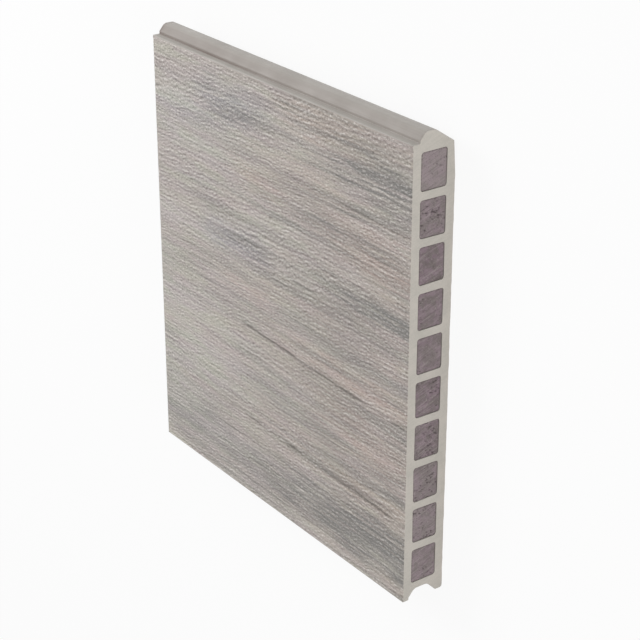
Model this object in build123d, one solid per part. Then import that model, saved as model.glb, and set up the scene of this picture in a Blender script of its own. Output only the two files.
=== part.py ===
from build123d import *
import os

# Composite fence board: a co-extruded profile with a tongue along its upper edge, a groove along
# its lower edge and a row of square cells that a foamed core fills. The board lies on its back.
# X runs along the board, +Y towards the tongue and +Z out of the embossed face. All sizes are mm.

# Overall sizes of the piece
LENGTH = 185.0           # between the two sawn ends
COVER_HEIGHT = 200.0     # face that stays in view once boards are stacked
THICKNESS = 21.0         # embossed face to back

# Row of cells
FACE_WALL = 4.2          # embossed face to the cells
BACK_WALL = 4.2          # cells to the back
CELL_COUNT = 10
WEB = 3.4                # between two neighbouring cells
CELL_RADIUS = 1.1        # inner corners of a cell
TOP_WALL = 3.6           # shoulder of the tongue to the first cell
GROOVE_WALL = 3.3        # roof of the groove to the last cell

# Tongue, whose depths run in from the embossed face and whose heights run up from its shoulder
SHOULDER = 3.4           # flat ledge in front of the tongue, which carries the next board
TONGUE_HEIGHT = 4.4      # shoulder to crest
TONGUE_RISE = 1.2        # upright step at the foot of the tongue
TONGUE_FLANK = 2.7       # depth over which the front flank climbs to the crest
CREST_WIDTH = 4.6        # flat top of the tongue
BACK_DROP = 1.9          # fall of the back slope below the shoulder, at its lower end
LEAD_IN = 1.0            # taken off the back at the lower end of the back slope
LEAD_HEIGHT = 14.0       # height over which the lead-in runs out into the back
CREST_RADIUS = 2.6       # both corners of the crest
FOOT_RADIUS = 0.2        # hollow between the shoulder and the tongue
FLANK_RADIUS = 1.0       # upright step to front flank
SLOPE_RADIUS = 0.8       # back slope to lead-in
LEAD_RADIUS = 8.0        # lead-in to back face

# Groove that takes the tongue of the next board
FIT_CLEARANCE = 0.25     # left between a tongue and the groove round it
GROOVE_BACK_RUN = 4.6    # depth over which the back flank of the groove climbs to its roof
LIP_RADIUS = 0.5         # inner edges of the two lips
BACK_LIP_RADIUS = 1.2    # outer edge of the back lip

FACE_EDGE_RADIUS = 0.4   # long edges of the embossed face

# Values that follow from the sizes above
OVERALL_HEIGHT = COVER_HEIGHT + TONGUE_HEIGHT
CELL_DEPTH = THICKNESS - FACE_WALL - BACK_WALL
CREST_FRONT = SHOULDER + TONGUE_FLANK
CREST_BACK = CREST_FRONT + CREST_WIDTH
SLOPE_END = THICKNESS - LEAD_IN
GROOVE_DEPTH = TONGUE_HEIGHT + FIT_CLEARANCE
ROOF_RADIUS = CREST_RADIUS + FIT_CLEARANCE
STEP_RADIUS = FLANK_RADIUS + FIT_CLEARANCE
CELLS_BOTTOM = GROOVE_DEPTH + GROOVE_WALL
CELLS_TOP = COVER_HEIGHT - TOP_WALL
CELL_HEIGHT = (CELLS_TOP - CELLS_BOTTOM - (CELL_COUNT - 1) * WEB) / CELL_COUNT


def on_section(depth, height):
    """Point of the section from its depth behind the face and its height above the lips."""
    return (height - OVERALL_HEIGHT / 2, THICKNESS - depth)


def tongue_corners():
    """Corners over the tongue as (depth, height, radius), from the face round to the back."""
    return [
        (0, COVER_HEIGHT, FACE_EDGE_RADIUS),
        (SHOULDER, COVER_HEIGHT, FOOT_RADIUS),
        (SHOULDER, COVER_HEIGHT + TONGUE_RISE, FLANK_RADIUS),
        (CREST_FRONT, OVERALL_HEIGHT, CREST_RADIUS),
        (CREST_BACK, OVERALL_HEIGHT, CREST_RADIUS),
        (SLOPE_END, COVER_HEIGHT - BACK_DROP, SLOPE_RADIUS),
        (THICKNESS, COVER_HEIGHT - BACK_DROP - LEAD_HEIGHT, LEAD_RADIUS),
    ]


def groove_corners():
    """Corners round the groove as (depth, height, radius), from the back round to the face."""
    back_slope = (TONGUE_HEIGHT + BACK_DROP) / (SLOPE_END - CREST_BACK)
    front_slope = (TONGUE_HEIGHT - TONGUE_RISE) / TONGUE_FLANK
    front_lip = SHOULDER - FIT_CLEARANCE
    roof_front = front_lip + (GROOVE_DEPTH - TONGUE_RISE) / front_slope
    back_lip = CREST_BACK + TONGUE_HEIGHT / back_slope + FIT_CLEARANCE
    return [
        (THICKNESS, 0, BACK_LIP_RADIUS),
        (back_lip, 0, LIP_RADIUS),
        (back_lip - GROOVE_BACK_RUN, GROOVE_DEPTH, ROOF_RADIUS),
        (roof_front, GROOVE_DEPTH, ROOF_RADIUS),
        (front_lip, TONGUE_RISE, STEP_RADIUS),
        (front_lip, 0, LIP_RADIUS),
        (0, 0, FACE_EDGE_RADIUS),
    ]


def cell_section(index):
    """Rounded outline of one cell, counted from 0 at the tongue."""
    height = CELLS_TOP - CELL_HEIGHT / 2 - index * (CELL_HEIGHT + WEB)
    depth = FACE_WALL + CELL_DEPTH / 2
    return Pos(*on_section(depth, height)) * RectangleRounded(CELL_HEIGHT, CELL_DEPTH, CELL_RADIUS)


def run_along_board(section):
    """Solid of a section drawn in Y and Z, carried from one sawn end to the other."""
    return extrude(Plane.YZ * section, LENGTH / 2, both=True)


def board_shell():
    """Extruded profile with its tongue, its groove and its open cells."""
    corners = tongue_corners() + groove_corners()
    points = [on_section(depth, height) for depth, height, _ in corners]
    radii = [radius for _, _, radius in corners]
    section = make_face(FilletPolyline(*points, radius=radii, close=True))
    for index in range(CELL_COUNT):
        section -= cell_section(index)
    return run_along_board(section)


def core_strip(index):
    """Foamed core that fills one cell from wall to wall and from end to end."""
    return run_along_board(cell_section(index))


os.makedirs("parts", exist_ok=True)
export_step(board_shell(), "parts/board_shell.step")
for number in range(CELL_COUNT):
    export_step(core_strip(number), f"parts/core_strip_{number + 1:02d}.step")
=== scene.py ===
"""Composite fence board, dressed for rendering.

The shell is one closed mesh with a real embossed grain, each foamed core has sawn, pitted ends, and a
plain studio shows the board with its tongue uppermost in the picture. Sizes are millimetres unless a
name says otherwise. X runs along the board, +Y towards the tongue and +Z out of the face.
"""

import logging
import math
from collections.abc import Callable, Mapping, Sequence
from dataclasses import dataclass, field, replace
from enum import Enum
from typing import ClassVar

import bpy
import numpy as np
from mathutils import Matrix, Vector
from mathutils.geometry import delaunay_2d_cdt


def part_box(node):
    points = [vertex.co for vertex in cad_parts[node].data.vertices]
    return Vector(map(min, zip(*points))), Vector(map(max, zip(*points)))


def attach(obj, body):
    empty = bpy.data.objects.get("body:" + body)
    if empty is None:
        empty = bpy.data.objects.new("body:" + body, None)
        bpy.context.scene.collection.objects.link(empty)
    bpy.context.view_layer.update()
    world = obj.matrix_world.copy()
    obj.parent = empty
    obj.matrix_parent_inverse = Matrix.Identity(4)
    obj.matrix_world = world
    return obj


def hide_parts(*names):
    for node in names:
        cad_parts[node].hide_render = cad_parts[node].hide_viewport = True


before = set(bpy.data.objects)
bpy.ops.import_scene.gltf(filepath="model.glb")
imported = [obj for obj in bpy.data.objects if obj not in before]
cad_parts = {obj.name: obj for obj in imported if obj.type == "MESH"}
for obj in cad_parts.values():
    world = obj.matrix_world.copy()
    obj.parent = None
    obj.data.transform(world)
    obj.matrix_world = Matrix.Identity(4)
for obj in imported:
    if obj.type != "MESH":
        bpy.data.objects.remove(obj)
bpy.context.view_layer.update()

log = logging.getLogger("fence_board")

MM = 0.001
BODY = "root"
SHELL_NODE = "board_shell"
CORE_PREFIX = "core_strip_"
CELL_SEED = 200
NOISE_MEAN = 0.5
WHITE = (1.0, 1.0, 1.0, 1.0)

Pair = tuple[float, float]
Triple = tuple[float, float, float]
Point = Triple
Color = tuple[float, float, float, float]
Quad = tuple[int, int, int, int]
Socket = bpy.types.NodeSocket
Wire = Socket | float | int | Sequence[float]


def paint(red: int, green: int, blue: int) -> Color:
    """Turns a colour read off a screen into the linear colour that shaders use.

    Args:
        red: Red from 0 to 255.
        green: Green from 0 to 255.
        blue: Blue from 0 to 255.

    Returns:
        Linear red, green and blue with an alpha of 1.
    """
    levels = [level / 255 for level in (red, green, blue)]
    linear = [v / 12.92 if v <= 0.04045 else ((v + 0.055) / 1.055) ** 2.4 for v in levels]
    return (linear[0], linear[1], linear[2], 1.0)


def box_mm(node: str) -> tuple[np.ndarray, np.ndarray]:
    """Gives a CAD node's lowest and highest corners in millimetres.

    Args:
        node: Name of the node.

    Returns:
        The lowest and the highest corner.
    """
    low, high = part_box(node)
    return np.array(low) / MM, np.array(high) / MM


def smooth_step(value: np.ndarray) -> np.ndarray:
    """Eases 0 to 1 with level ends, and holds the ends beyond them."""
    held = np.clip(value, 0.0, 1.0)
    return held * held * (3.0 - 2.0 * held)


def sifted_noise(rng: np.random.Generator, sieve: np.ndarray) -> np.ndarray:
    """Draws white noise on a grid and keeps the waves that a sieve of the same shape lets through."""
    return np.real(np.fft.ifft2(np.fft.fft2(rng.standard_normal(sieve.shape)) * sieve))


class Zone(Enum):
    """Parts of the shell's surface, each with a finish of its own."""

    FACE = "embossed_face"
    BACK = "embossed_back"
    EDGE = "extruded_edge"
    SAWN = "sawn_end"

    @property
    def index(self) -> int:
        """Place of the zone's material among the shell's material slots."""
        return list(Zone).index(self)


class Graph:
    """Adds nodes to one shader tree and wires them together."""

    def __init__(self, tree: bpy.types.NodeTree) -> None:
        """Keeps the tree that receives the nodes."""
        self.tree = tree

    @classmethod
    def empty(cls, owner: bpy.types.Material | bpy.types.World) -> "Graph":
        """Opens the node tree of a material or of the world and clears it.

        Args:
            owner: Material or world.

        Returns:
            The graph of its tree.
        """
        owner.use_nodes = True
        owner.node_tree.nodes.clear()
        return cls(owner.node_tree)

    def add(
        self, kind: str, wires: Mapping[str | int, Wire] | None = None, **settings: object
    ) -> bpy.types.Node:
        """Adds one node.

        Args:
            kind: Blender's identifier of the node.
            wires: Constant or output socket for each input that is set.
            **settings: Properties of the node.

        Returns:
            The new node.
        """
        node = self.tree.nodes.new(kind)
        for name, value in settings.items():
            setattr(node, name, value)
        for key, value in (wires or {}).items():
            if isinstance(value, Socket):
                self.tree.links.new(value, node.inputs[key])
            else:
                node.inputs[key].default_value = value
        return node

    def effect(self, group: bpy.types.NodeTree, sizes: object) -> Socket:
        """Places a shared group.

        Args:
            group: Group to place.
            sizes: Holder of a value for each of the group's inputs, under the input's name in lower case.

        Returns:
            The group's output socket.
        """
        node = self.add("ShaderNodeGroup", None, node_tree=group)
        for socket in node.inputs:
            socket.default_value = getattr(sizes, socket.name.lower())
        return node.outputs[0]

    def stored(self, name: str) -> Socket:
        """Reads a number that the mesh stores at its points."""
        return self.add("ShaderNodeAttribute", None, attribute_name=name).outputs["Fac"]

    def math(self, operation: str, *values: Wire) -> Socket:
        """Adds a sum, product or other function of one or two values.

        Args:
            operation: Blender's name of the operation.
            *values: Constants or sockets.

        Returns:
            The result's socket.
        """
        return self.add("ShaderNodeMath", dict(enumerate(values)), operation=operation).outputs[0]

    def times(self, value: Wire, factor: Wire) -> Socket:
        """Multiplies a value by a factor."""
        return self.math("MULTIPLY", value, factor)

    def over(self, value: Wire, size: Wire) -> Socket:
        """Divides a value by a size."""
        return self.math("DIVIDE", value, size)

    def swing(self, noise: Wire, width: Wire) -> Socket:
        """Turns a noise into one that swings about 0 with a given width."""
        return self.times(self.math("SUBTRACT", noise, NOISE_MEAN), width)

    def weigh(self, *parts: tuple[Wire, float]) -> Socket:
        """Adds up values, each times its weight.

        Args:
            *parts: Values with their weights.

        Returns:
            The sum's socket.
        """
        total = self.times(*parts[0])
        for part in parts[1:]:
            total = self.math("ADD", total, self.times(*part))
        return total

    def mix(self, share: Wire, first: Wire, second: Wire) -> Socket:
        """Mixes two colours.

        Args:
            share: How much of the second colour is used.
            first: Colour at a share of 0.
            second: Colour at a share of 1.

        Returns:
            The mixed colour's socket.
        """
        return self.add("ShaderNodeMix", {0: share, 6: first, 7: second}, data_type="RGBA").outputs[2]

    def ramp(self, value: Wire, low: float, high: float, start: float = 0.0, end: float = 1.0) -> Socket:
        """Maps a range of values to another with eased ends.

        Args:
            value: Value to map.
            low: Value that becomes start.
            high: Value that becomes end.
            start: Result at low.
            end: Result at high.

        Returns:
            The mapped value's socket.
        """
        wires = {"Value": value, "From Min": low, "From Max": high, "To Min": start, "To Max": end}
        return self.add("ShaderNodeMapRange", wires, interpolation_type="SMOOTHSTEP").outputs["Result"]

    def place_mm(self) -> tuple[Socket, Socket, Socket]:
        """Gives the surface point's X, Y and Z on the board in millimetres.

        Returns:
            The three sockets.
        """
        where = self.add("ShaderNodeTexCoord").outputs["Object"]
        scaled = self.add("ShaderNodeVectorMath", {0: where, "Scale": 1 / MM}, operation="SCALE")
        parts = self.add("ShaderNodeSeparateXYZ", {0: scaled.outputs["Vector"]}).outputs
        return parts["X"], parts["Y"], parts["Z"]

    def noise(self, where: Sequence[Wire], detail: float, roughness: float = 0.5) -> Socket:
        """Adds noise of unit grain at a place given by three values.

        Args:
            where: X, Y and Z as constants or sockets.
            detail: Number of finer layers.
            roughness: Weight of each finer layer.

        Returns:
            The noise value's socket, about 0.5 in the mean.
        """
        vector = self.add("ShaderNodeCombineXYZ", dict(enumerate(where))).outputs[0]
        wires = {"Vector": vector, "Scale": 1.0, "Detail": detail, "Roughness": roughness}
        return self.add("ShaderNodeTexNoise", wires, noise_dimensions="3D").outputs["Fac"]


Wiring = Callable[[Graph, Mapping[str, Socket]], Socket]


class Effects:
    """Shader node groups that several finishes share."""

    drift_grain: ClassVar[Pair] = (55.0, 30.0)
    wave_grain: ClassVar[Pair] = (22.0, 9.0)
    fibre_grain: ClassVar[Pair] = (16.0, 1.3)
    wave_layer: ClassVar[float] = 0.0
    fibre_layer: ClassVar[float] = 5.0
    end_power: ClassVar[float] = 3.0
    side_power: ClassVar[float] = 2.0

    def __init__(self) -> None:
        """Builds every group once."""
        self.streaks = self.make_group(
            "long_streaks", "Mask", self.wire_streaks, Length=60.0, Width=7.0, Wander=2.0, Shift=0.0
        )
        self.band = self.make_group(
            "placed_band", "Mask", self.wire_band, Along=0.0, Across=0.0, Length=60.0, Width=8.0, Lean=0.0
        )
        self.speckle = self.make_group("speckle", "Value", self.wire_speckle, Size=1.0, Shift=0.0)
        self.saw_marks = self.make_group(
            "saw_marks", "Height", self.wire_saw_marks, Pitch=0.5, Reach=14.0, Lean=0.2
        )

    @staticmethod
    def make_group(name: str, output: str, wire: Wiring, **inputs: float) -> bpy.types.NodeTree:
        """Builds one group.

        Args:
            name: Name of the group.
            output: Name of its one output.
            wire: Method that adds the group's nodes and gives the result's socket.
            **inputs: Input names and their first values.

        Returns:
            The group's tree.
        """
        tree = bpy.data.node_groups.new(name, "ShaderNodeTree")
        for label, value in inputs.items():
            socket = tree.interface.new_socket(name=label, in_out="INPUT", socket_type="NodeSocketFloat")
            socket.default_value = value
        tree.interface.new_socket(name=output, in_out="OUTPUT", socket_type="NodeSocketFloat")
        graph = Graph(tree)
        given = graph.add("NodeGroupInput").outputs
        graph.add("NodeGroupOutput", {output: wire(graph, given)})
        return tree

    def wire_streaks(self, graph: Graph, given: Mapping[str, Socket]) -> Socket:
        """Wires soft streaks that run along the board and wander a little.

        Args:
            graph: Group's graph.
            given: Group's inputs.

        Returns:
            The mask's socket.
        """
        x, y, z = graph.place_mm()
        long, wide = self.drift_grain
        drift = graph.noise((graph.over(x, long), graph.over(y, wide), given["Shift"]), detail=1.0)
        drift = graph.swing(drift, given["Wander"])
        across = graph.over(graph.math("ADD", y, drift), given["Width"])
        along = graph.math("ADD", graph.over(x, given["Length"]), given["Shift"])
        depth = graph.over(z, given["Width"])
        mask = graph.noise((along, across, depth), detail=3.0, roughness=0.55)
        return graph.ramp(mask, low=0.3, high=0.7)

    def wire_band(self, graph: Graph, given: Mapping[str, Socket]) -> Socket:
        """Wires one soft band with a place, a size and a lean of its own.

        Its two noises take nothing from the inputs, so that all the bands of a material share them.

        Args:
            graph: Group's graph.
            given: Group's inputs.

        Returns:
            The mask's socket.
        """
        x, y, _ = graph.place_mm()
        grains = ((self.wave_grain, self.wave_layer), (self.fibre_grain, self.fibre_layer))
        wave, fibre = (
            graph.noise((graph.over(x, long), graph.over(y, wide), layer), detail=2.0)
            for (long, wide), layer in grains
        )
        wave = graph.swing(wave, given["Width"])
        off_x = graph.math("SUBTRACT", x, given["Along"])
        off_y = graph.math("SUBTRACT", graph.math("ADD", y, wave), given["Across"])
        off_y = graph.math("SUBTRACT", off_y, graph.times(off_x, given["Lean"]))
        far_x = graph.over(off_x, graph.times(given["Length"], 0.5))
        far_x = graph.math("POWER", graph.math("ABSOLUTE", far_x), self.end_power)
        far_y = graph.over(off_y, graph.times(given["Width"], 0.5))
        far_y = graph.math("POWER", far_y, self.side_power)
        fall = graph.times(graph.math("ADD", far_x, far_y), -1.0)
        fibre = graph.ramp(fibre, low=0.25, high=0.7, start=0.25, end=1.0)
        return graph.times(graph.math("EXPONENT", fall), fibre)

    @staticmethod
    def wire_speckle(graph: Graph, given: Mapping[str, Socket]) -> Socket:
        """Wires even, cloudy specks of one size.

        Args:
            graph: Group's graph.
            given: Group's inputs.

        Returns:
            The value's socket.
        """
        parts = [graph.over(part, given["Size"]) for part in graph.place_mm()]
        parts[0] = graph.math("ADD", parts[0], given["Shift"])
        return graph.noise(parts, detail=3.0, roughness=0.6)

    @staticmethod
    def wire_saw_marks(graph: Graph, given: Mapping[str, Socket]) -> Socket:
        """Wires the fine scores that a saw leaves across a cut end.

        Args:
            graph: Group's graph.
            given: Group's inputs.

        Returns:
            The height's socket.
        """
        x, y, z = graph.place_mm()
        across = graph.over(graph.math("ADD", y, graph.times(z, given["Lean"])), given["Pitch"])
        return graph.noise((x, across, graph.over(z, given["Reach"])), detail=2.0, roughness=0.6)


class Stain(Enum):
    """Colours that streaks and bands lay over the print, in the order in which they are laid."""

    MOSS = paint(186, 190, 172)
    MAUVE = paint(186, 170, 177)
    ROSE = paint(196, 173, 163)
    OCHRE = paint(196, 175, 159)
    MIST = paint(173, 171, 181)
    SLATE = paint(134, 132, 129)
    # Dark lines along the cracks in the grain: painted shade in the crevices.
    CRACK = paint(98, 96, 92)


@dataclass(frozen=True)
class Band:
    """A soft band of colour, placed one by one. A strength below 0 takes colour away."""

    along: float
    across: float
    length: float
    width: float
    strength: float
    lean: float = 0.0
    stain: Stain = Stain.SLATE


# The first two bands are far wider than the face. They darken and warm it towards its +X end; the darkening
# is painted shade of light that falls off towards that end.
FACE_BANDS = (
    Band(110.0, 0.0, 230.0, 900.0, 0.3),
    Band(110.0, 0.0, 250.0, 900.0, 0.38, 0.0, Stain.ROSE),
    Band(80.0, 77.0, 92.0, 13.0, 0.74, -0.02),
    Band(-33.0, 81.0, 58.0, 14.0, 0.40, -0.02),
    Band(-29.0, 20.0, 46.0, 12.0, 0.42, -0.03),
    Band(86.0, 21.0, 84.0, 11.0, 0.60, -0.02),
    Band(30.0, 50.0, 50.0, 5.0, 0.22, -0.04),
    Band(84.0, -81.0, 90.0, 17.0, 0.52, -0.02),
    Band(62.0, -64.0, 50.0, 8.0, 0.22, -0.02),
    Band(10.0, 12.0, 44.0, 8.0, 0.22, -0.02),
    Band(-20.0, -85.0, 200.0, 20.0, 0.45, -0.01),
    Band(-70.0, 56.0, 60.0, 6.0, -0.22, -0.02),
    Band(-70.0, -36.0, 70.0, 22.0, -0.22, 0.0),
    Band(60.0, -97.0, 90.0, 6.0, -0.40, 0.0),
    Band(72.0, 45.0, 64.0, 20.0, 0.55, -0.02, Stain.ROSE),
    Band(-12.0, 53.0, 36.0, 12.0, 0.45, -0.02, Stain.ROSE),
    Band(42.0, 89.0, 70.0, 16.0, 0.65, -0.03, Stain.OCHRE),
    Band(-29.0, 20.0, 48.0, 15.0, 0.75, -0.03, Stain.MIST),
    Band(-32.0, 81.0, 58.0, 17.0, 0.70, -0.02, Stain.MIST),
    Band(-68.0, 68.0, 50.0, 16.0, 0.30, -0.02, Stain.MIST),
    Band(-20.0, -1.0, 40.0, 11.0, 0.45, 0.0, Stain.ROSE),
    Band(45.0, -13.0, 120.0, 10.0, 0.48, -0.02, Stain.ROSE),
    Band(64.0, -38.0, 70.0, 30.0, 0.40, 0.0, Stain.ROSE),
    Band(66.0, -63.0, 60.0, 12.0, 0.75, -0.02, Stain.OCHRE),
    # Thin dark lines along the cracks in the grain: painted shade in them.
    Band(20.0, -19.3, 92.0, 1.5, 0.62, -0.038, Stain.CRACK),
    Band(26.0, -64.3, 120.0, 1.1, 0.56, -0.03, Stain.CRACK),
    Band(6.0, 17.0, 46.0, 0.9, 0.45, -0.05, Stain.CRACK),
    Band(66.0, 61.0, 70.0, 0.9, 0.32, -0.03, Stain.CRACK),
    Band(72.0, 48.6, 60.0, 0.8, 0.35, -0.02, Stain.CRACK),
    Band(-66.0, 6.2, 60.0, 0.9, 0.30, -0.01, Stain.CRACK),
    Band(-22.0, -57.2, 90.0, 1.2, 0.28, -0.01, Stain.CRACK),
    Band(-16.0, -74.6, 80.0, 1.2, 0.28, -0.01, Stain.CRACK),
    Band(-40.0, 14.6, 34.0, 1.0, 0.35, -0.03, Stain.CRACK),
)
BACK_BANDS = (
    Band(-40.0, 60.0, 80.0, 12.0, 0.45, 0.02),
    Band(50.0, 20.0, 70.0, 10.0, 0.40, 0.02),
    Band(-10.0, -40.0, 90.0, 14.0, 0.35, 0.02),
    Band(60.0, -75.0, 60.0, 9.0, -0.30, 0.02),
)


@dataclass(frozen=True)
class Streak:
    """Size of one set of streaks, and how far its pattern is moved on."""

    length: float
    width: float
    wander: float
    shift: float


@dataclass(frozen=True)
class Speckle:
    """Size of one set of specks, and how far its pattern is moved on."""

    size: float
    shift: float


@dataclass(frozen=True)
class SawCut:
    """Distance between a saw's scores, their length and their lean."""

    pitch: float = 0.55
    reach: float = 10.0
    lean: float = 0.35


@dataclass(frozen=True)
class Wash:
    """Faint streaks of one stain all over the print."""

    stain: Stain
    streak: Streak
    span: Pair
    strength: float


@dataclass(frozen=True)
class Look:
    """What a finish hands to its shader, with the fine relief as a height from 0 to 1 and a depth."""

    color: Wire
    roughness: Wire
    height: Wire
    relief: float


@dataclass(frozen=True)
class Finish:
    """Base of the finishes, which all end in one dull plastic shader."""

    name: str
    specular: ClassVar[float] = 0.3

    def look(self, graph: Graph, effects: Effects) -> Look:
        """Wires the finish's own nodes.

        Args:
            graph: Material's graph.
            effects: Shared groups.

        Returns:
            Colour, roughness and fine relief.
        """
        raise NotImplementedError(self.name)

    def material(self, effects: Effects) -> bpy.types.Material:
        """Builds the material.

        Args:
            effects: Shared groups.

        Returns:
            The finished material.
        """
        material = bpy.data.materials.new(self.name)
        graph = Graph.empty(material)
        look = self.look(graph, effects)
        relief = {"Height": look.height, "Distance": look.relief * MM, "Strength": 1.0}
        bump = graph.add("ShaderNodeBump", relief)
        wires = {
            "Base Color": look.color,
            "Roughness": look.roughness,
            "Normal": bump.outputs["Normal"],
            "Specular IOR Level": self.specular,
        }
        shader = graph.add("ShaderNodeBsdfPrincipled", wires)
        graph.add("ShaderNodeOutputMaterial", {"Surface": shader.outputs[0]})
        return material


@dataclass(frozen=True)
class EmbossedFinish(Finish):
    """Streaked wood print over the embossed grain, with painted highlights on the ridges and painted shade in
    the recesses.
    """

    bands: tuple[Band, ...]
    shift: float
    pale: Color = paint(190, 185, 178)
    # Colours of the painted highlight on the ridges and of the painted shade in the recesses.
    ridge_highlight: Color = paint(226, 221, 216)
    recess: Color = paint(104, 99, 94)
    broad: Streak = Streak(95.0, 10.0, 14.0, 0.0)
    middle: Streak = Streak(58.0, 3.2, 7.0, 7.0)
    thread: Streak = Streak(140.0, 1.3, 3.0, 13.0)
    hair: Streak = Streak(1.3, 0.7, 0.0, 31.0)
    tone_weights: Triple = (0.24, 0.28, 0.30)
    washes: tuple[Wash, ...] = (
        Wash(Stain.ROSE, Streak(70.0, 13.0, 8.0, 19.0), (0.2, 0.9), 0.16),
        Wash(Stain.MAUVE, Streak(24.0, 4.5, 6.0, 25.0), (0.3, 0.9), 0.38),
        Wash(Stain.MOSS, Streak(30.0, 5.0, 6.0, 37.0), (0.3, 0.9), 0.42),
    )
    slate_span: Pair = (0.12, 1.24)
    groove_weight: float = 0.6
    hair_weight: float = 0.4
    # How the painted shade in the recesses and the painted highlight on the ridges follow the grain's depth;
    # the highlight is weaker on slate.
    recess_span: Pair = (0.48, 1.0)
    recess_share: float = 0.74
    ridge_span: Pair = (0.5, 0.02)
    ridge_share: float = 1.1
    ridge_loss_on_slate: float = 0.5
    roughness: Pair = (0.55, 0.7)
    fine_relief: float = 0.12

    def streaks(self, graph: Graph, effects: Effects, streak: Streak) -> Socket:
        """Places one set of streaks, moved on with the rest of this print."""
        return graph.effect(effects.streaks, replace(streak, shift=self.shift + streak.shift))

    def look(self, graph: Graph, effects: Effects) -> Look:
        """Wires the print.

        Args:
            graph: Material's graph.
            effects: Shared groups.

        Returns:
            Colour, roughness and fine relief.
        """
        sets = (self.broad, self.middle, self.thread, self.hair)
        broad, middle, thread, hair = (self.streaks(graph, effects, streak) for streak in sets)
        sums = {Stain.SLATE: graph.weigh(*zip((broad, middle, thread), self.tone_weights))}
        for wash in self.washes:
            mask = graph.ramp(self.streaks(graph, effects, wash.streak), *wash.span)
            sums[wash.stain] = graph.times(mask, wash.strength)
        for band in self.bands:
            part = graph.times(graph.effect(effects.band, band), band.strength)
            sums[band.stain] = graph.math("ADD", sums[band.stain], part) if band.stain in sums else part
        sums[Stain.SLATE] = graph.ramp(sums[Stain.SLATE], *self.slate_span)
        color: Wire = self.pale
        for stain in Stain:
            if stain in sums:
                color = graph.mix(sums[stain], color, stain.value)
        # Painted shade in the recesses and painted highlight on the ridges, laid by the grain's depth and the
        # fine hair.
        shade = graph.weigh((graph.stored("groove"), self.groove_weight), (hair, self.hair_weight))
        deep = graph.times(graph.ramp(shade, *self.recess_span), self.recess_share)
        color = graph.mix(deep, color, self.recess)
        slate = graph.times(sums[Stain.SLATE], self.ridge_loss_on_slate)
        highlight_share = graph.math("SUBTRACT", self.ridge_share, slate)
        color = graph.mix(graph.times(graph.ramp(shade, *self.ridge_span), highlight_share), color, self.ridge_highlight)
        return Look(color, graph.ramp(middle, 0.0, 1.0, *self.roughness), hair, self.fine_relief)


@dataclass(frozen=True)
class ExtrudedFinish(Finish):
    """Smooth beige-grey skin of the tongue, the groove and the long edges, darkened by painted shade that the
    mesh stores.
    """

    light: Color = paint(179, 174, 168)
    dark: Color = paint(167, 162, 156)
    # Colour of the painted shade at the foot of the tongue, on its flank and at its far end.
    painted_shade: Color = paint(104, 86, 80)
    die_lines: Streak = Streak(90.0, 0.8, 1.0, 3.0)
    cloud: Speckle = Speckle(14.0, 5.0)
    line_weight: float = 0.2
    cloud_weight: float = 0.8
    tone_span: Pair = (0.2, 0.8)
    crease_share: float = 0.8
    roughness: Pair = (0.42, 0.56)
    fine_relief: float = 0.03

    def look(self, graph: Graph, effects: Effects) -> Look:
        """Wires the skin.

        Args:
            graph: Material's graph.
            effects: Shared groups.

        Returns:
            Colour, roughness and fine relief.
        """
        lines = graph.effect(effects.streaks, self.die_lines)
        cloud = graph.effect(effects.speckle, self.cloud)
        tone = graph.weigh((lines, self.line_weight), (cloud, self.cloud_weight))
        color = graph.mix(graph.ramp(tone, *self.tone_span), self.light, self.dark)
        # Painted shade that the mesh stores, at the foot of the tongue, on its flank and at its far end.
        color = graph.mix(graph.times(graph.stored("painted_shade"), self.crease_share), color, self.painted_shade)
        return Look(color, graph.ramp(cloud, *self.tone_span, *self.roughness), lines, self.fine_relief)


@dataclass(frozen=True)
class SawnFinish(Finish):
    """Pale cut through the shell."""

    light: Color = paint(188, 182, 174)
    dark: Color = paint(175, 171, 163)
    saw: SawCut = SawCut()
    cloud: Speckle = Speckle(9.0, 2.0)
    grit: Speckle = Speckle(0.6, 9.0)
    tone_weights: Triple = (0.4, 0.35, 0.25)
    tone_span: Pair = (0.36, 0.64)
    grit_span: Pair = (0.2, 0.8)
    roughness: Pair = (0.6, 0.75)
    fine_relief: float = 0.04

    def look(self, graph: Graph, effects: Effects) -> Look:
        """Wires the cut.

        Args:
            graph: Material's graph.
            effects: Shared groups.

        Returns:
            Colour, roughness and fine relief.
        """
        scores = graph.effect(effects.saw_marks, self.saw)
        cloud = graph.effect(effects.speckle, self.cloud)
        grit = graph.effect(effects.speckle, self.grit)
        tone = graph.weigh(*zip((cloud, grit, scores), self.tone_weights))
        color = graph.mix(graph.ramp(tone, *self.tone_span), self.light, self.dark)
        return Look(color, graph.ramp(grit, *self.grit_span, *self.roughness), scores, self.fine_relief)


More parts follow.
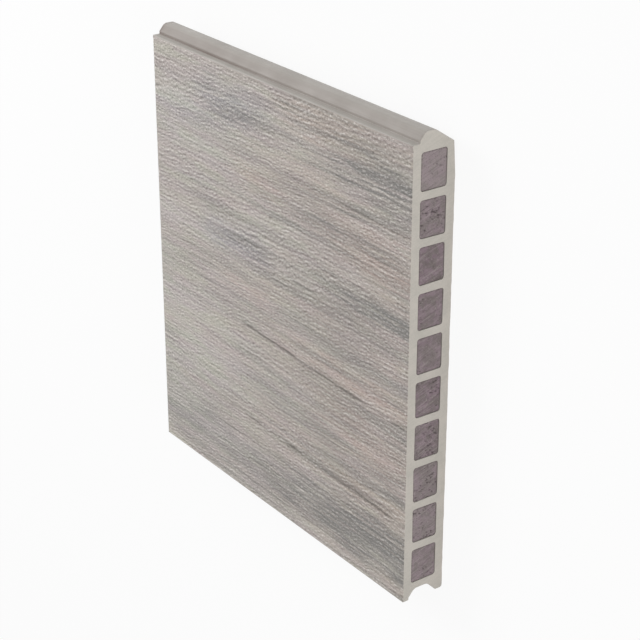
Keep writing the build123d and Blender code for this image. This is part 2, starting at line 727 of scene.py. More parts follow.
@dataclass(frozen=True)
class FoamFinish(Finish):
    """Mottled purple-brown core, sawn through its bubbles, with painted shade in the opened bubbles and along
    the cell wall.
    """

    mauve: Color = paint(128, 112, 119)
    brown: Color = paint(108, 99, 98)
    chalk: Color = paint(152, 143, 142)
    # Dark colour of the grains and the low saw scores, also used for the painted shade in the opened bubbles.
    pit: Color = paint(72, 62, 64)
    # Colour of the painted shade along the gap between the core and the cell wall.
    rim: Color = paint(84, 76, 74)
    saw: SawCut = SawCut()
    cloud: Speckle = Speckle(4.5, 0.0)
    specks: Speckle = Speckle(0.9, 4.0)
    grains: Speckle = Speckle(0.7, 11.0)
    cloud_span: Pair = (0.38, 0.62)
    speck_span: Pair = (0.54, 0.7)
    speck_share: float = 0.6
    grain_share: float = 0.5
    ridge_span: Pair = (0.53, 0.7)
    ridge_share: float = 0.5
    score_span: Pair = (0.47, 0.3)
    score_share: float = 0.35
    pit_share: float = 0.85
    rim_span: Pair = (0.35, 0.65)
    rim_share: Pair = (0.1, 0.7)
    rough_span: Pair = (0.3, 0.7)
    roughness: Pair = (0.7, 0.9)
    fine_relief: float = 0.06

    def look(self, graph: Graph, effects: Effects) -> Look:
        """Wires the core.

        Args:
            graph: Material's graph.
            effects: Shared groups.

        Returns:
            Colour, roughness and fine relief.
        """
        sets = (self.cloud, self.specks, self.grains)
        cloud, specks, grains = (graph.effect(effects.speckle, speckle) for speckle in sets)
        scores = graph.effect(effects.saw_marks, self.saw)
        color = graph.mix(graph.ramp(cloud, *self.cloud_span), self.mauve, self.brown)
        color = graph.mix(graph.stored("shade"), color, self.chalk)
        for mask, span, share, coat in (
            (specks, self.speck_span, self.speck_share, self.chalk),
            (grains, self.speck_span, self.grain_share, self.pit),
            (scores, self.ridge_span, self.ridge_share, self.chalk),
            (scores, self.score_span, self.score_share, self.pit),
        ):
            color = graph.mix(graph.times(graph.ramp(mask, *span), share), color, coat)
        # Painted shade in the opened bubbles, darker where they are deeper.
        color = graph.mix(graph.times(graph.stored("pit"), self.pit_share), color, self.pit)
        # Painted shade along the gap between the core and the cell wall, broken up by the grains.
        rim = graph.times(graph.stored("rim"), graph.ramp(grains, *self.rim_span, *self.rim_share))
        color = graph.mix(rim, color, self.rim)
        return Look(color, graph.ramp(specks, *self.rough_span, *self.roughness), scores, self.fine_relief)


@dataclass(frozen=True)
class GrainLine:
    """A long, thin crack in the grain, deeper than the rest."""

    start: float
    end: float
    across: float
    lean: float
    depth: float
    width: float


FACE_CRACKS = (
    GrainLine(-32.0, 99.0, -17.3, -0.038, 0.21, 0.5),
    GrainLine(-28.0, 94.0, -62.7, -0.03, 0.2, 0.5),
    GrainLine(4.0, 110.0, 62.6, -0.034, 0.12, 0.45),
)


@dataclass
class GrainRelief:
    """Embossed grain, as depths below a face.

    The depths come from random fields, and a reach says how far such a field stays alike along X and Y.
    """

    seed: int
    lines: tuple[GrainLine, ...] = ()
    depth: float = 0.2
    steepness: float = 1.8
    pitch: float = 1.55
    fibre_pitch: float = 1.25
    vein_pitch: float = 1.4
    dash_reach: Pair = (0.5, 0.8)
    fibre_reach: Pair = (2.2, 0.9)
    vein_reach: Pair = (26.0, 1.2)
    dash_weight: float = 0.9
    fibre_weight: float = 0.3
    vein_weight: float = 0.36
    slant: float = 0.045
    wander: float = 1.1
    wander_reach: Pair = (30.0, 9.0)
    ripple: float = 0.2
    ripple_reach: Pair = (2.6, 1.6)
    rough_mean: float = 0.85
    rough_spread: float = 0.17
    rough_lean: float = 0.12
    rough_reach: Pair = (14.0, 5.0)
    line_taper: float = 14.0
    line_stray: float = 0.25
    line_hold: float = 0.6
    line_break: float = 0.5
    break_reach: Pair = (4.0, 4.0)
    step_x: float = 0.7
    step_y: float = 0.25
    margin: float = 12.0
    rng: np.random.Generator = field(init=False)

    def __post_init__(self) -> None:
        """Seeds the draws."""
        self.rng = np.random.default_rng(self.seed)

    def draw(self, half: Pair, reach: Pair, pitch: float | None) -> np.ndarray:
        """Draws a smooth random field over the face.

        Args:
            half: Half length and half height of the face.
            reach: How far the field stays alike along X and Y.
            pitch: Distance between waves along Y, or None for a field of plain patches.

        Returns:
            A grid with a mean of 0 and a spread of 1, with X along its rows.
        """
        count_x = int(2 * (half[0] + self.margin) / self.step_x) + 1
        count_y = int(2 * (half[1] + self.margin) / self.step_y) + 1
        turn_x = 2 * math.pi * np.fft.fftfreq(count_x, self.step_x)[:, None]
        turn_y = 2 * math.pi * np.fft.fftfreq(count_y, self.step_y)[None, :]
        centre = 2 * math.pi / pitch if pitch else 0.0
        along = np.exp(-((turn_x * reach[0]) ** 2) / 2)
        across = np.exp(-(((np.abs(turn_y) - centre) * reach[1]) ** 2) / 2)
        made = sifted_noise(self.rng, along * across)
        return (made - made.mean()) / made.std()

    def field_at(
        self, x: np.ndarray, y: np.ndarray, half: Pair, reach: Pair, pitch: float | None = None
    ) -> np.ndarray:
        """Draws a field and reads it between its grid points.

        Args:
            x: Places along the board.
            y: Places across the board, from its middle.
            half: Half length and half height of the face.
            reach: How far the field stays alike along X and Y.
            pitch: Distance between waves along Y, or None for a field of plain patches.

        Returns:
            The field's values at those places.
        """
        grid = self.draw(half, reach, pitch)
        # A hair short of the last point, so that every place has a next one.
        last_row, last_col = np.array(grid.shape) - 1.001
        row = np.clip((x + half[0] + self.margin) / self.step_x, 0, last_row)
        col = np.clip((y + half[1] + self.margin) / self.step_y, 0, last_col)
        r, c = row.astype(int), col.astype(int)
        fr, fc = row - r, col - c
        low = grid[r, c] * (1 - fc) + grid[r, c + 1] * fc
        high = grid[r + 1, c] * (1 - fc) + grid[r + 1, c + 1] * fc
        return low * (1 - fr) + high * fr

    def depths(self, x: np.ndarray, y: np.ndarray, half: Pair) -> np.ndarray:
        """Works out how deep the emboss is.

        Args:
            x: Places along the board.
            y: Places across the board, from its middle.
            half: Half length and half height of the face.

        Returns:
            Depths below the face, from 0.
        """
        bend = self.field_at(x, y, half, self.wander_reach) * self.wander
        bend += self.field_at(x, y, half, self.ripple_reach) * self.ripple
        across = y + bend - self.slant * x
        dashes = self.field_at(x, across, half, self.dash_reach, self.pitch)
        fibres = self.field_at(x, across, half, self.fibre_reach, self.pitch * self.fibre_pitch)
        veins = self.field_at(x, y + bend, half, self.vein_reach, self.pitch * self.vein_pitch)
        patch = self.field_at(x, y, half, self.rough_reach)
        rough = self.rough_mean + self.rough_spread * np.tanh(patch)
        rough = rough + self.rough_lean * np.clip(y / half[1], -1, 1)
        waves = self.dash_weight * dashes + self.fibre_weight * fibres + self.vein_weight * veins
        deep = self.depth / (1 + np.exp(-self.steepness * (rough * waves)))
        broken = self.field_at(x, y, half, self.break_reach)
        for line in self.lines:
            middle = line.across + line.lean * (x - line.start) + self.line_stray * broken
            taper = smooth_step((x - line.start) / self.line_taper)
            taper = taper * smooth_step((line.end - x) / self.line_taper)
            taper = taper * smooth_step(self.line_hold + self.line_break * broken)
            deep += line.depth * taper * np.exp(-(((y - middle) / line.width) ** 2))
        return deep


@dataclass(frozen=True)
class Corner:
    """A rounded corner of the section, with the straight run that leaves it."""

    depth: float
    height: float
    radius: float
    zone: Zone = Zone.EDGE
    step: float = 1.2


@dataclass
class BoardSection:
    """Outline of the shell across the board."""

    shoulder: float = 3.4
    tongue_height: float = 4.4
    tongue_rise: float = 1.2
    tongue_flank: float = 2.7
    crest_width: float = 4.6
    back_drop: float = 1.9
    lead_in: float = 1.0
    lead_height: float = 14.0
    crest_radius: float = 2.6
    foot_radius: float = 0.2
    flank_radius: float = 1.0
    slope_radius: float = 0.8
    lead_radius: float = 8.0
    fit_clearance: float = 0.25
    groove_back_run: float = 4.6
    lip_radius: float = 0.5
    back_lip_radius: float = 1.2
    face_edge_radius: float = 0.4
    face_step: float = 0.55
    back_step: float = 2.6
    foot_step: float = 0.5
    arc_turn: float = math.radians(18)
    low: np.ndarray = field(init=False)
    high: np.ndarray = field(init=False)

    def __post_init__(self) -> None:
        """Reads the shell's box from the frame."""
        self.low, self.high = box_mm(SHELL_NODE)

    def corners(self) -> list[Corner]:
        """Lists the corners from the foot of the face over the tongue and round the groove.

        Returns:
            The corners in order.
        """
        overall = self.high[1] - self.low[1]
        thickness = self.high[2] - self.low[2]
        cover = overall - self.tongue_height
        crest_front = self.shoulder + self.tongue_flank
        crest_back = crest_front + self.crest_width
        groove = self.tongue_height + self.fit_clearance
        slope_end = thickness - self.lead_in
        lead_start = cover - self.back_drop
        back_slope = (self.tongue_height + self.back_drop) / (slope_end - crest_back)
        front_slope = (self.tongue_height - self.tongue_rise) / self.tongue_flank
        front_lip = self.shoulder - self.fit_clearance
        roof_front = front_lip + (groove - self.tongue_rise) / front_slope
        back_lip = crest_back + self.tongue_height / back_slope + self.fit_clearance
        roof_radius = self.crest_radius + self.fit_clearance
        step_radius = self.flank_radius + self.fit_clearance
        return [
            Corner(0, 0, self.face_edge_radius, Zone.FACE, self.face_step),
            Corner(0, cover, self.face_edge_radius, Zone.EDGE, self.foot_step),
            Corner(self.shoulder, cover, self.foot_radius, Zone.EDGE, self.foot_step),
            Corner(self.shoulder, cover + self.tongue_rise, self.flank_radius),
            Corner(crest_front, overall, self.crest_radius),
            Corner(crest_back, overall, self.crest_radius),
            Corner(slope_end, lead_start, self.slope_radius),
            Corner(thickness, lead_start - self.lead_height, self.lead_radius, Zone.BACK, self.back_step),
            Corner(thickness, 0, self.back_lip_radius),
            Corner(back_lip, 0, self.lip_radius),
            Corner(back_lip - self.groove_back_run, groove, roof_radius),
            Corner(roof_front, groove, roof_radius),
            Corner(front_lip, self.tongue_rise, step_radius),
            Corner(front_lip, 0, self.lip_radius),
        ]

    def foot(self) -> np.ndarray:
        """Gives the inner corner at the foot of the tongue, in Y and Z."""
        return np.array([self.high[1] - self.tongue_height, self.high[2] - self.shoulder])

    def outline(self) -> tuple[np.ndarray, np.ndarray]:
        """Rounds the corners and divides the runs.

        Returns:
            The outline's points in Y and Z, and the zone index of the piece that leaves each point.
        """
        corners = self.corners()
        spots = np.array([(self.low[1] + c.height, self.high[2] - c.depth) for c in corners])
        around = zip(np.roll(spots, 1, axis=0), spots, np.roll(spots, -1, axis=0), corners)
        arcs = [self.arc(before, spot, after, c.radius) for before, spot, after, c in around]
        points: list[np.ndarray] = []
        zones: list[int] = []
        for i, corner in enumerate(corners):
            points.extend(arcs[i])
            bend = corner.zone if corners[i - 1].zone is corner.zone else Zone.EDGE
            zones.extend([bend.index] * (len(arcs[i]) - 1) + [corner.zone.index])
            start, end = arcs[i][-1], arcs[(i + 1) % len(arcs)][0]
            parts = max(1, math.ceil(np.linalg.norm(end - start) / corner.step))
            for share in range(1, parts):
                points.append(start + (end - start) * share / parts)
                zones.append(corner.zone.index)
        return np.array(points), np.array(zones)

    def arc(self, before: np.ndarray, spot: np.ndarray, after: np.ndarray, radius: float) -> list[np.ndarray]:
        """Rounds one corner.

        Args:
            before: Corner before it.
            spot: Corner itself.
            after: Corner after it.
            radius: Radius of the rounding.

        Returns:
            Points from one end of the arc to the other.
        """
        back = (before - spot) / np.linalg.norm(before - spot)
        on = (after - spot) / np.linalg.norm(after - spot)
        half = math.acos(float(np.clip(back @ on, -1, 1))) / 2
        tangent = radius / math.tan(half)
        centre = spot + (back + on) / np.linalg.norm(back + on) * radius / math.sin(half)
        first, last = spot + back * tangent - centre, spot + on * tangent - centre
        turn = math.pi - 2 * half
        shares = np.linspace(0, 1, max(2, math.ceil(turn / self.arc_turn)) + 1)
        spokes = [math.sin((1 - s) * turn) * first + math.sin(s * turn) * last for s in shares]
        return [centre + spoke / math.sin(turn) for spoke in spokes]


@dataclass
class CellShape:
    """Slightly uneven rounded outline of one cell, shared by the shell and its core."""

    node: str
    seed: int
    radius: float = 1.1
    uneven: float = 0.16
    low: np.ndarray = field(init=False)
    high: np.ndarray = field(init=False)
    skew: np.ndarray = field(init=False)

    def __post_init__(self) -> None:
        """Reads the core's box and draws how its corners stray."""
        self.low, self.high = box_mm(self.node)
        self.skew = np.random.default_rng(self.seed).uniform(-self.uneven, self.uneven, (2, 2, 2))

    def place(self, across: np.ndarray, up: np.ndarray, inset: float) -> np.ndarray:
        """Places points of a unit square inside the cell.

        Args:
            across: Places along Y from -1 to 1.
            up: Places along Z from -1 to 1.
            inset: Distance kept from the wall.

        Returns:
            Points in Y and Z.
        """
        half_y, half_z = (self.high[1:] - self.low[1:]) / 2 - inset
        y, z = across * half_y, up * half_z
        flat_y, flat_z = half_y - self.radius, half_z - self.radius
        over_y, over_z = np.abs(y) - flat_y, np.abs(z) - flat_z
        a, b = np.clip(over_y / self.radius, 0, 1), np.clip(over_z / self.radius, 0, 1)
        round_y = np.sign(y) * (flat_y + self.radius * a * np.sqrt(1 - b * b / 2))
        round_z = np.sign(z) * (flat_z + self.radius * b * np.sqrt(1 - a * a / 2))
        in_corner = (over_y > 0) & (over_z > 0)
        y, z = np.where(in_corner, round_y, y), np.where(in_corner, round_z, z)
        s, t = (across + 1) / 2, (up + 1) / 2
        shares = ((1 - s, 1 - t), (1 - s, t), (s, 1 - t), (s, t))
        skews = self.skew.reshape(4, 2)
        stray = sum(skew[:, None] * share_y * share_z for skew, (share_y, share_z) in zip(skews, shares))
        middle = (self.low[1:] + self.high[1:]) / 2
        return np.stack([middle[0] + y + stray[0], middle[1] + z + stray[1]], -1)

    def ring(self, count: tuple[int, int]) -> np.ndarray:
        """Walks once round the cell's wall, anticlockwise as seen from +X.

        Args:
            count: Number of steps along Y and along Z.

        Returns:
            Points in Y and Z.
        """
        along = np.linspace(-1, 1, count[0] + 1)
        rise = np.linspace(-1, 1, count[1] + 1)
        across = np.concatenate([along[:-1], np.ones(count[1]), along[:0:-1], -np.ones(count[1])])
        up = np.concatenate([-np.ones(count[0]), rise[:-1], np.ones(count[0]), rise[:0:-1]])
        return self.place(across, up, 0.0)


def make_piece(name: str, points: np.ndarray, faces: Sequence[Sequence[int]]) -> bpy.types.Object:
    """Makes a mesh object and puts it in the scene.

    Args:
        name: Name of the piece.
        points: Corner places.
        faces: Corner numbers of each face.

    Returns:
        The new object.
    """
    mesh = bpy.data.meshes.new(name)
    mesh.from_pydata((points * MM).tolist(), [], faces)
    piece = bpy.data.objects.new(name, mesh)
    bpy.context.scene.collection.objects.link(piece)
    return piece


def write_values(mesh: bpy.types.Mesh, name: str, values: np.ndarray) -> None:
    """Stores one number for each corner of a mesh.

    Args:
        mesh: Mesh that gets the numbers.
        name: Name under which a material reads them.
        values: The numbers.
    """
    layer = mesh.attributes.new(name, "FLOAT", "POINT")
    layer.data.foreach_set("value", values.astype(np.float32))


@dataclass
class BoardShell:
    """Extruded shell with its embossed face and back."""

    cells: list[CellShape]
    section: BoardSection = field(default_factory=BoardSection)
    front: GrainRelief = field(default_factory=lambda: GrainRelief(seed=41, lines=FACE_CRACKS))
    back: GrainRelief = field(default_factory=lambda: GrainRelief(seed=73, pitch=4.6, dash_reach=(6.0, 0.8)))
    station_step: float = 1.03
    edge_ease: float = 0.14
    edge_fade: float = 0.7
    cell_steps: tuple[int, int] = (16, 14)
    plain_groove: float = 0.5
    deepest_groove: float = 1.4
    # Painted shade: a dark line at the foot of the tongue that fades towards +X, shade over its flank that is
    # darker towards -X, and shade at its far end.
    crease_width: float = 0.34
    crease_mean: float = 0.36
    crease_lean: float = 0.46
    crease_stray: float = 0.12
    crease_reach: Pair = (9.0, 9.0)
    flank_shade: float = 0.4
    flank_lean: float = 0.25
    flank_reach: float = 3.2
    flank_fade: float = 2.4
    end_shade: float = 0.4
    end_reach: float = 1.6
    back_shift: float = 40.0

    def build(self) -> bpy.types.Object:
        """Builds the mesh.

        Returns:
            The shell's object.
        """
        outline, zones = self.section.outline()
        grid, values = self.embossed_grid(outline, zones)
        stations, around = grid.shape[:2]
        right, left = self.cap_ring(grid[-1], 1), self.cap_ring(grid[0], -1)
        points = [np.concatenate([left[None], grid, right[None]]).reshape(-1, 3)]
        base = (stations + 2) * around
        faces = self.wrap(stations + 2, around, 0)
        slots = np.tile(zones, stations + 1).tolist()
        holes: list[tuple[np.ndarray, int]] = []
        for cell in self.cells:
            ring = cell.ring(self.cell_steps)
            points.extend(np.column_stack([np.full(len(ring), x), ring]) for x in (left[0, 0], right[0, 0]))
            faces.extend(self.wrap(2, len(ring), base))
            slots.extend([Zone.EDGE.index] * len(ring))
            holes.append((ring, base))
            base += 2 * len(ring)
        for ring, first, end, turn in ((left, 0, 0, -1), (right, (stations + 1) * around, 1, 1)):
            cells = [(hole, start + end * len(hole)) for hole, start in holes]
            cap = self.cap_faces(ring[:, 1:], first, cells, turn)
            faces.extend(cap)
            slots.extend([Zone.SAWN.index] * len(cap))
        piece = make_piece("embossed_shell", np.concatenate(points), faces)
        self.finish_mesh(piece.data, np.array(slots), values)
        return piece

    def embossed_grid(
        self, outline: np.ndarray, zones: np.ndarray
    ) -> tuple[np.ndarray, dict[str, np.ndarray]]:
        """Runs the outline along the board and presses the grain into its two faces.

        Args:
            outline: Points of the outline in Y and Z.
            zones: Zone index of each point.

        Returns:
            Points by station and place on the outline, and at each point the grain's depth, which the print
            turns into painted shade and highlights, and the painted shade round the foot of the tongue.
        """
        low, high = self.section.low, self.section.high
        half = ((high[0] - low[0]) / 2, (high[1] - low[1]) / 2)
        reach = half[0] - self.edge_ease
        x = np.linspace(-reach, reach, round(2 * reach / self.station_step) + 1)
        grid = np.empty((len(x), len(outline), 3))
        grid[:, :, 0] = x[:, None]
        grid[:, :, 1:] = outline[None]
        groove = np.full(grid.shape[:2], self.plain_groove)
        for zone, relief, sign in ((Zone.FACE, self.front, -1), (Zone.BACK, self.back, 1)):
            picked = np.flatnonzero(zones == zone.index)
            y = outline[picked, 0]
            deep = relief.depths(*np.broadcast_arrays(x[:, None], y[None]), half)
            fade = smooth_step((y - y.min()) / self.edge_fade) * smooth_step((y.max() - y) / self.edge_fade)
            grid[:, picked, 2] += sign * deep * fade
            groove[:, picked] = deep / relief.depth
        # Cracks go past 1, so that the painted shade in them is darker.
        groove = np.clip(groove, 0, self.deepest_groove)
        return grid, {"groove": groove, "painted_shade": self.painted_shade(outline, x, half)}

    def painted_shade(self, outline: np.ndarray, x: np.ndarray, half: Pair) -> np.ndarray:
        """Works out the painted shade: a dark line along the inner corner at the foot of the tongue, and
        shade on its flank and far end.

        Args:
            outline: Points of the outline in Y and Z.
            x: Places of the stations along the board.
            half: Half length and half height of the board.

        Returns:
            Painted shade by station and place on the outline, from 0 to 1.
        """
        foot = np.linalg.norm(outline - self.section.foot(), axis=1)
        above = smooth_step((outline[:, 0] - self.section.foot()[0]) / self.crease_width)
        drift = self.front.field_at(x, np.zeros(len(x)), half, self.crease_reach)
        # Strength of the painted dark line at the foot, greater towards -X.
        foot_line_strength = self.crease_mean - self.crease_lean * x / half[0] + self.crease_stray * drift
        shade = np.exp(-((foot / self.crease_width) ** 2))[None] * np.clip(foot_line_strength, 0, 1)[:, None]
        flank = self.flank_shade * (1 - self.flank_lean * x[:, None] / half[0])
        shade += flank * above * (1 - smooth_step((foot - self.flank_reach) / self.flank_fade))
        shade += self.end_shade * above * np.exp(-(((x[:, None] + half[0]) / self.end_reach) ** 2))
        return np.clip(shade, 0, 1)

    def cap_ring(self, ring: np.ndarray, way: int) -> np.ndarray:
        """Draws the outline in a little, so that the sawn edge is eased.

        Args:
            ring: Last ring of the embossed surface.
            way: 1 at the +X end and -1 at the other.

        Returns:
            The ring on the sawn end.
        """
        run = np.roll(ring, -1, axis=0) - np.roll(ring, 1, axis=0)
        out = np.stack([-run[:, 2], run[:, 1]], -1)
        out /= np.linalg.norm(out, axis=1, keepdims=True)
        capped = ring.copy()
        capped[:, 0] += way * self.edge_ease
        capped[:, 1:] -= out * self.edge_ease
        return capped

    @staticmethod
    def wrap(rings: int, around: int, base: int) -> list[Quad]:
        """Joins rings of points into a tube.

        Args:
            rings: Number of rings.
            around: Points in each ring.
            base: Number of the first point.

        Returns:
            The tube's faces.
        """
        k, i = np.meshgrid(np.arange(rings - 1), np.arange(around), indexing="ij")
        on = (i + 1) % around
        quads = np.stack([k * around + i, (k + 1) * around + i, (k + 1) * around + on, k * around + on], -1)
        return [tuple(quad) for quad in (quads.reshape(-1, 4) + base).tolist()]

    @staticmethod
    def cap_faces(
        ring: np.ndarray, first: int, holes: Sequence[tuple[np.ndarray, int]], turn: int
    ) -> list[tuple[int, ...]]:
        """Fills a sawn end between its outline and its cells.

        Args:
            ring: Outline in Y and Z.
            first: Number of the outline's first point.
            holes: Outline of each cell with the number of its first point.
            turn: 1 for faces that look along +X, and -1 for the other way.

        Returns:
            The triangles of the end.
        """
        places: list[Vector] = []
        numbers: list[int] = []
        edges: list[tuple[int, int]] = []
        loops: list[int] = []
        for loop, start in [(ring, first), *holes]:
            at = len(places)
            loops.extend([start] * len(loop))
            places.extend(Vector(place) for place in loop)
            numbers.extend(range(start, start + len(loop)))
            edges.extend((at + i, at + (i + 1) % len(loop)) for i in range(len(loop)))
        inside_only, merge_distance = 1, 1e-6
        made = delaunay_2d_cdt(places, edges, [], inside_only, merge_distance)
        origins = [origin[0] for origin in made[3]]
        triangles: list[tuple[int, ...]] = []
        for face in made[2]:
            corners = [origins[corner] for corner in face[::turn]]
            on_outline = min(corners) < len(ring)
            between_cells = len({loops[corner] for corner in corners}) > 1
            if on_outline or between_cells:
                triangles.append(tuple(numbers[corner] for corner in corners))
        return triangles

    @staticmethod
    def finish_mesh(mesh: bpy.types.Mesh, slots: np.ndarray, values: Mapping[str, np.ndarray]) -> None:
        """Sets the mesh's zones, its smooth and sharp edges and its shades.

        Args:
            mesh: Mesh of the shell.
            slots: Zone index of each face.
            values: Shades by name, for each station and place on the outline.
        """
        mesh.polygons.foreach_set("material_index", slots)
        mesh.polygons.foreach_set("use_smooth", slots != Zone.SAWN.index)
        for name, shade in values.items():
            whole = np.concatenate([shade[:1], shade, shade[-1:]]).ravel()
            write_values(mesh, name, np.pad(whole, (0, len(mesh.vertices) - whole.size)))
        stations, around = values["groove"].shape
        on_end = np.ones(len(mesh.vertices), bool)
        on_end[around : (stations + 1) * around] = False
        pairs = np.empty(len(mesh.edges) * 2, np.int32)
        mesh.edges.foreach_get("vertices", pairs)
        mesh.edges.foreach_set("use_edge_sharp", on_end[pairs.reshape(-1, 2)].all(axis=1))
        mesh.update()

    def dress(self, piece: bpy.types.Object, effects: Effects) -> None:
        """Gives each zone its finish.

        Args:
            piece: The shell's object.
            effects: Shared groups.
        """
        finishes = {
            Zone.FACE: EmbossedFinish(Zone.FACE.value, FACE_BANDS, 0.0),
            Zone.BACK: EmbossedFinish(Zone.BACK.value, BACK_BANDS, self.back_shift),
            Zone.EDGE: ExtrudedFinish(Zone.EDGE.value),
            Zone.SAWN: SawnFinish(Zone.SAWN.value),
        }
        for zone in Zone:
            piece.data.materials.append(finishes[zone].material(effects))


@dataclass(frozen=True)
class CoreLook:
    """How pitted and how pale one core is."""

    pitted: float
    lift: float


# From the tongue down to the groove.
CORE_LOOKS = (
    CoreLook(0.3, 0.48),
    CoreLook(0.85, 0.25),
    CoreLook(0.85, 0.02),
    CoreLook(0.95, 0.08),
    CoreLook(0.8, 0.16),
    CoreLook(1.1, 0.02),
    CoreLook(0.85, 0.10),
    CoreLook(0.9, 0.30),
    CoreLook(1.15, 0.36),
    CoreLook(0.8, 0.29),
)


@dataclass
class CoreStrip:
    """Foamed core of one cell, with sawn and pitted ends."""

    cell: CellShape
    number: int
    look: CoreLook
    first_seed: int = 500
    wall_gap: float = 0.06
    recess: float = 0.08
    edge_drop: float = 0.22
    rim_width: float = 0.7
    pit_depth: float = 0.35
    pit_reach: Pair = (0.5, 1.0)
    pit_start: float = 2.3
    pit_fade: float = 1.5
    cluster_reach: Pair = (7.0, 7.0)
    cluster_weight: float = 0.5
    steps: tuple[int, int] = (48, 40)

    def build(self) -> bpy.types.Object:
        """Builds the mesh.

        Returns:
            The strip's object.
        """
        rng = np.random.default_rng(self.first_seed + self.number)
        sides = [np.linspace(-1, 1, count + 1) for count in self.steps]
        across, up = np.meshgrid(*sides, indexing="ij")
        flat = self.cell.place(across.ravel(), up.ravel(), self.wall_gap)
        size = self.cell.high[1:] - self.cell.low[1:]
        wall = np.minimum((1 - np.abs(across)) * size[0] / 2, (1 - np.abs(up)) * size[1] / 2).ravel()
        # Share of the painted shade along the cell wall: 1 at the wall and 0 a rim width in.
        rim = 1 - smooth_step(wall / self.rim_width)
        points, faces, pits = [], [], []
        quads = self.end_quads()
        for base, way in ((0, -1), (len(flat), 1)):
            face_x = (self.cell.high[0] if way > 0 else -self.cell.low[0]) - self.recess
            pits.append(self.pits(rng, across.shape).ravel())
            depth = np.where(wall <= 0, self.edge_drop, pits[-1] * self.pit_depth)
            points.append(np.column_stack([way * (face_x - depth), flat]))
            faces.extend(tuple(base + corner for corner in quad[::way]) for quad in quads)
        loop, shift = self.border(), len(flat)
        for a, b in zip(loop, loop[1:] + loop[:1]):
            faces.append((a, b, shift + b, shift + a))
        piece = make_piece(f"foam_core_{self.number:02d}", np.concatenate(points), faces)
        mesh = piece.data
        mesh.polygons.foreach_set("use_smooth", np.arange(len(mesh.polygons)) < 2 * len(quads))
        write_values(mesh, "rim", np.tile(rim, 2))
        # The pit depths also set the painted shade in the opened bubbles.
        write_values(mesh, "pit", np.concatenate(pits))
        write_values(mesh, "shade", np.full(len(mesh.vertices), self.look.lift))
        mesh.update()
        return piece

    @staticmethod
    def draw(rng: np.random.Generator, shape: tuple[int, int], reach: Pair) -> np.ndarray:
        """Draws a smooth random field over one end.

        Args:
            rng: Source of the draws.
            shape: Points along Y and Z.
            reach: Points along Y and Z over which the field stays alike.

        Returns:
            A grid with a spread of 1.
        """
        turn_y, turn_z = (2 * math.pi * np.fft.fftfreq(count) for count in shape)
        sieve = np.exp(-((turn_y[:, None] * reach[0]) ** 2 + (turn_z[None] * reach[1]) ** 2) / 2)
        made = sifted_noise(rng, sieve)
        return made / made.std()

    def pits(self, rng: np.random.Generator, shape: tuple[int, int]) -> np.ndarray:
        """Draws the opened bubbles of one end.

        Args:
            rng: Source of the draws.
            shape: Points along Y and Z.

        Returns:
            Depths from 0 to 1.
        """
        clusters = self.draw(rng, shape, self.cluster_reach)
        bubbles = self.draw(rng, shape, self.pit_reach) + self.cluster_weight * clusters
        return smooth_step((bubbles - self.pit_start + self.look.pitted) / self.pit_fade)

    def end_quads(self) -> list[Quad]:
        """Lists the faces of one end, which look along +X.

        Returns:
            The corner numbers of each face.
        """
        high = self.steps[1] + 1
        i, j = np.meshgrid(np.arange(self.steps[0]), np.arange(self.steps[1]), indexing="ij")
        first = (i * high + j).ravel()
        quads = np.stack([first, first + high, first + high + 1, first + 1], -1)
        return [tuple(quad) for quad in quads.tolist()]

    def border(self) -> list[int]:
        """Walks round one end's border, anticlockwise as seen from +X.

        Returns:
            The numbers of its points.
        """
        wide, high = self.steps
        row = high + 1
        walk = [i * row for i in range(wide)]
        walk += [wide * row + j for j in range(high)]
        walk += [i * row + high for i in range(wide, 0, -1)]
        walk += list(range(high, 0, -1))
        return walk

    @staticmethod
    def dress(piece: bpy.types.Object, foam: bpy.types.Material) -> None:
        """Gives the strip the finish that all the cores share."""
        piece.data.materials.append(foam)


@dataclass(frozen=True)
class Lamp:
    """A soft rectangular lamp, in metres and watts."""

    name: str
    place: Point
    aim: Point
    size: Pair
    power: float


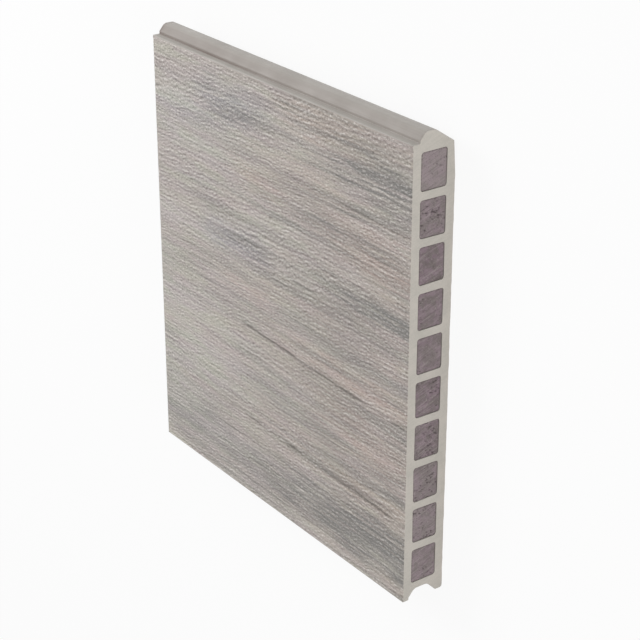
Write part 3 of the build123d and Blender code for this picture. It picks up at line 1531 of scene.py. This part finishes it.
@dataclass
class Studio:
    """Plain floor, soft light and the camera, in metres."""

    floor_half: float = 4.0
    floor_color: Color = (0.86, 0.86, 0.86, 1.0)
    floor_white: float = 0.9
    ambient: float = 0.53
    camera_place: Point = (0.5824, 0.3167, 0.4188)
    camera_aim: Point = (0.0196, -0.0029, 0.0105)
    camera_focal_mm: float = 101.25
    picture_up: Point = (0.0, 1.0, 0.0)
    lamps: tuple[Lamp, ...] = (
        Lamp("lamp_left", (-0.68, 0.48, 0.63), (0.0, 0.0, 0.02), (0.45, 0.45), 5.0),
        Lamp("lamp_right", (1.0, 0.15, 0.22), (0.09, 0.0, 0.01), (0.6, 0.6), 4.8),
    )

    def build(self) -> None:
        """Builds the floor, the light and the camera."""
        self.build_floor()
        self.build_world()
        for lamp in self.lamps:
            self.build_lamp(lamp)
        self.build_camera()

    @staticmethod
    def seen_directly(graph: Graph) -> Socket:
        """Tells rays that show the background, straight or in a gloss or glass, from rays of light.

        Args:
            graph: Graph of the floor's material or of the world.

        Returns:
            A socket that gives 1 on rays that show the background, and 0 on the others.
        """
        path = graph.add("ShaderNodeLightPath").outputs
        seen = graph.math("MAXIMUM", path["Is Camera Ray"], path["Is Glossy Ray"])
        return graph.math("MAXIMUM", seen, path["Is Transmission Ray"])

    def build_floor(self) -> None:
        """Lays a white floor that keeps the board's shadow."""
        half = self.floor_half / MM
        corners = np.array([(-half, -half, 0), (half, -half, 0), (half, half, 0), (-half, half, 0)])
        floor = make_piece("floor", corners, [(0, 1, 2, 3)])
        material = bpy.data.materials.new("floor_white")
        graph = Graph.empty(material)
        matt = graph.add("ShaderNodeBsdfDiffuse", {"Color": self.floor_color})
        glow = graph.add("ShaderNodeEmission", {"Color": WHITE, "Strength": 1.0})
        share = graph.times(self.seen_directly(graph), self.floor_white)
        mixed = graph.add("ShaderNodeMixShader", {0: share, 1: matt.outputs[0], 2: glow.outputs[0]})
        graph.add("ShaderNodeOutputMaterial", {"Surface": mixed.outputs[0]})
        floor.data.materials.append(material)

    def build_world(self) -> None:
        """Fills the room with even light and shows it white."""
        world = bpy.data.worlds.new("soft_room")
        graph = Graph.empty(world)
        wires = {0: self.seen_directly(graph), 2: self.ambient, 3: 1.0}
        strength = graph.add("ShaderNodeMix", wires, data_type="FLOAT").outputs[0]
        light = graph.add("ShaderNodeBackground", {"Color": WHITE, "Strength": strength})
        graph.add("ShaderNodeOutputWorld", {"Surface": light.outputs[0]})
        bpy.context.scene.world = world

    @staticmethod
    def build_lamp(lamp: Lamp) -> None:
        """Hangs one lamp.

        Args:
            lamp: Place, aim, size and power of the lamp.
        """
        data = bpy.data.lights.new(lamp.name, "AREA")
        data.shape = "RECTANGLE"
        data.size, data.size_y = lamp.size
        data.energy = lamp.power
        hung = bpy.data.objects.new(lamp.name, data)
        hung.location = lamp.place
        hung.rotation_euler = (Vector(lamp.aim) - Vector(lamp.place)).to_track_quat("-Z", "Y").to_euler()
        bpy.context.scene.collection.objects.link(hung)

    def build_camera(self) -> None:
        """Sets the camera over the board, with the tongue uppermost in the picture."""
        data = bpy.data.cameras.new("camera")
        data.lens = self.camera_focal_mm
        camera = bpy.data.objects.new("camera", data)
        back = (Vector(self.camera_place) - Vector(self.camera_aim)).normalized()
        right = Vector(self.picture_up).cross(back).normalized()
        turn = Matrix((right, back.cross(right), back)).transposed()
        camera.matrix_world = Matrix.Translation(self.camera_place) @ turn.to_4x4()
        bpy.context.scene.collection.objects.link(camera)
        bpy.context.scene.camera = camera


def install(piece: bpy.types.Object, node: str) -> None:
    """Puts a piece in the place of its CAD node.

    Args:
        piece: Finished piece.
        node: CAD node that it stands for.
    """
    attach(piece, BODY)
    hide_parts(node)
    log.info("%s: %d faces in place of %s", piece.name, len(piece.data.polygons), node)


def main() -> None:
    """Builds the board and the studio."""
    logging.basicConfig(level=logging.INFO, format="%(message)s")
    bpy.context.scene.view_settings.view_transform = "Standard"
    effects = Effects()
    nodes = sorted(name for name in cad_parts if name.startswith(CORE_PREFIX))
    cells = [CellShape(node, CELL_SEED + number) for number, node in enumerate(nodes, 1)]
    shell = BoardShell(cells)
    piece = shell.build()
    shell.dress(piece, effects)
    install(piece, SHELL_NODE)
    foam = FoamFinish("foam_core").material(effects)
    for number, (node, cell, look) in enumerate(zip(nodes, cells, CORE_LOOKS), 1):
        strip = CoreStrip(cell, number, look)
        piece = strip.build()
        strip.dress(piece, foam)
        install(piece, node)
    Studio().build()
    log.info("studio: floor, lamps and camera")


if __name__ == "__main__":
    main()
